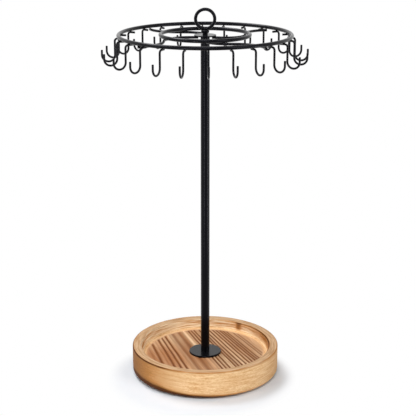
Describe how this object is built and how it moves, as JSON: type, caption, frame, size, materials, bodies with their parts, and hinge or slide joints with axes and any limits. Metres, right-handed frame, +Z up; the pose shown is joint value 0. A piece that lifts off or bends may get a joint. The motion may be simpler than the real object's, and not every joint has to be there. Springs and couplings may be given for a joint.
{
  "type": "necklace stand",
  "caption": "Turning necklace stand: a round wooden tray on a turntable, a slim pole, and two wire rings with J hooks and a lifting loop on top.",
  "frame": {"origin": "on the table under the pole's axis, at the level of the rubber feet", "axes": "+Z up the pole, -Y towards the front of the stand, +X to its right as seen from the front"},
  "size_m": [0.2138, 0.2138, 0.3993],
  "materials": {
    "black_steel": "semi-gloss black powder coat",
    "torched_wood": "torched and brushed, clear matt lacquer",
    "zinc_steel": "zinc plated",
    "bearing_steel": "polished",
    "cage_plastic": "plain moulded",
    "foot_rubber": "matt"
  },
  "bodies": {
    "turntable_foot": {"rubber_feet": "foot_rubber", "lower_race_plate": "zinc_steel", "pivot_rivet": "zinc_steel"},
    "ball_ring": {"ball_cage": "cage_plastic", "bearing_balls": "bearing_steel"},
    "stand": {"upper_race_plate": "zinc_steel", "plate_screws": "zinc_steel", "wood_tray": "torched_wood", "screw_washer": "zinc_steel", "pole_screw": "zinc_steel", "foot_flange": "black_steel", "pole_tube": "black_steel", "pole_bottom_insert": "zinc_steel", "pole_top_insert": "zinc_steel", "hub_disc": "black_steel", "arm_1": "black_steel", "arm_2": "black_steel", "arm_3": "black_steel", "arm_4": "black_steel", "inner_ring": "black_steel", "outer_ring": "black_steel", "hook_01": "black_steel", "hook_02": "black_steel", "hook_03": "black_steel", "hook_04": "black_steel", "hook_05": "black_steel", "hook_06": "black_steel", "hook_07": "black_steel", "hook_08": "black_steel", "hook_09": "black_steel", "hook_10": "black_steel", "hook_11": "black_steel", "hook_12": "black_steel", "hook_13": "black_steel", "hook_14": "black_steel", "hook_15": "black_steel", "hook_16": "black_steel", "hook_17": "black_steel", "hook_18": "black_steel", "hook_19": "black_steel", "hook_20": "black_steel", "hook_21": "black_steel", "hook_22": "black_steel", "hook_23": "black_steel", "hook_24": "black_steel", "lifting_loop": "black_steel"}
  },
  "joints": [
    {"name": "turntable_spin", "type": "hinge", "parent": "turntable_foot", "child": "stand", "pos_m": [0, 0, 0.00449], "axis": [0, 0, 1], "continuous": true},
    {"name": "ball_ring_spin", "type": "hinge", "parent": "turntable_foot", "child": "ball_ring", "pos_m": [0, 0, 0.00449], "axis": [0, 0, 1], "continuous": true}
  ],
  "couplings": [
    {"joint": "ball_ring_spin", "follows": "turntable_spin", "ratio": 0.5}
  ]
}
